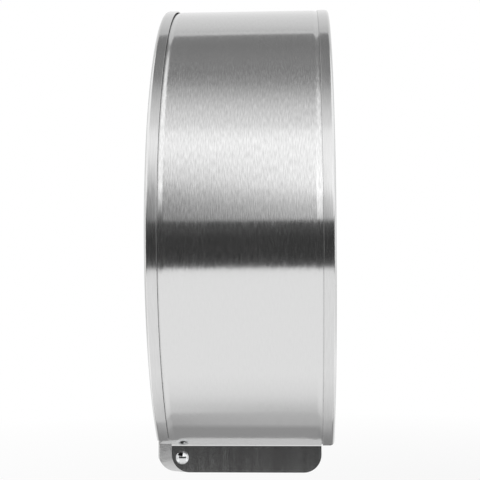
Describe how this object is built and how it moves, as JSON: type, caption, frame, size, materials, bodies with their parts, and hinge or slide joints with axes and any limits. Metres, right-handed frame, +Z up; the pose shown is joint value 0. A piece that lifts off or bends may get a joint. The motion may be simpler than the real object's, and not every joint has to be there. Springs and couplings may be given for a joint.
{
  "type": "jumbo toilet roll dispenser",
  "caption": "Round wall dispenser for a jumbo toilet roll: brushed steel drum, drop-down front cover with a cam lock and level slot, toothed paper mouth below.",
  "frame": {"origin": "on the wall face, at the drum's axis and the middle of the four wall holes", "axes": "+X to the right seen from the front, +Y into the wall, +Z up; the front cover faces -Y"},
  "size_m": [0.3214, 0.1098, 0.3007],
  "materials": {
    "brushed_band": "brushed along the circumference",
    "brushed_sheet": "brushed",
    "plain_steel": "rolled sheet, fine grain",
    "turned_steel": "turned",
    "chrome": "polished",
    "nylon": "moulded",
    "grey_plastic": "fine moulded texture",
    "clear_pane": "clear polycarbonate"
  },
  "bodies": {
    "drum": {"back_plate": "brushed_sheet", "drum_band": "brushed_band", "hinge_rivet_left": "chrome", "hinge_rivet_right": "chrome", "hinge_washer_left": "nylon", "hinge_washer_right": "nylon", "tear_strip_left": "plain_steel", "tear_strip_right": "plain_steel", "spindle_flange": "plain_steel", "spindle_post": "turned_steel", "spindle_rivets": "turned_steel", "hub_washer": "turned_steel", "hub_screw": "turned_steel", "lock_strike": "plain_steel"},
    "cover": {"front_cover": "brushed_sheet", "lock_barrel": "chrome", "lock_washer": "turned_steel", "lock_nut": "turned_steel", "window_pane": "clear_pane", "window_retainer": "grey_plastic"},
    "lock": {"lock_plug": "chrome", "lock_cam": "plain_steel", "lock_cam_screw": "turned_steel"},
    "hub": {"roll_hub": "grey_plastic", "hub_cap": "grey_plastic"}
  },
  "joints": [
    {"name": "cover_hinge", "type": "hinge", "parent": "drum", "child": "cover", "pos_m": [0, -0.093, -0.13102], "axis": [1, 0, 0], "range_deg": [0, 110]},
    {"name": "lock_turn", "type": "hinge", "parent": "cover", "child": "lock", "pos_m": [0, -0.1, 0.138], "axis": [0, 1, 0], "range_deg": [0, 90]},
    {"name": "hub_spin", "type": "hinge", "parent": "drum", "child": "hub", "pos_m": [0, -0.05, 0], "axis": [0, 1, 0], "continuous": true}
  ]
}
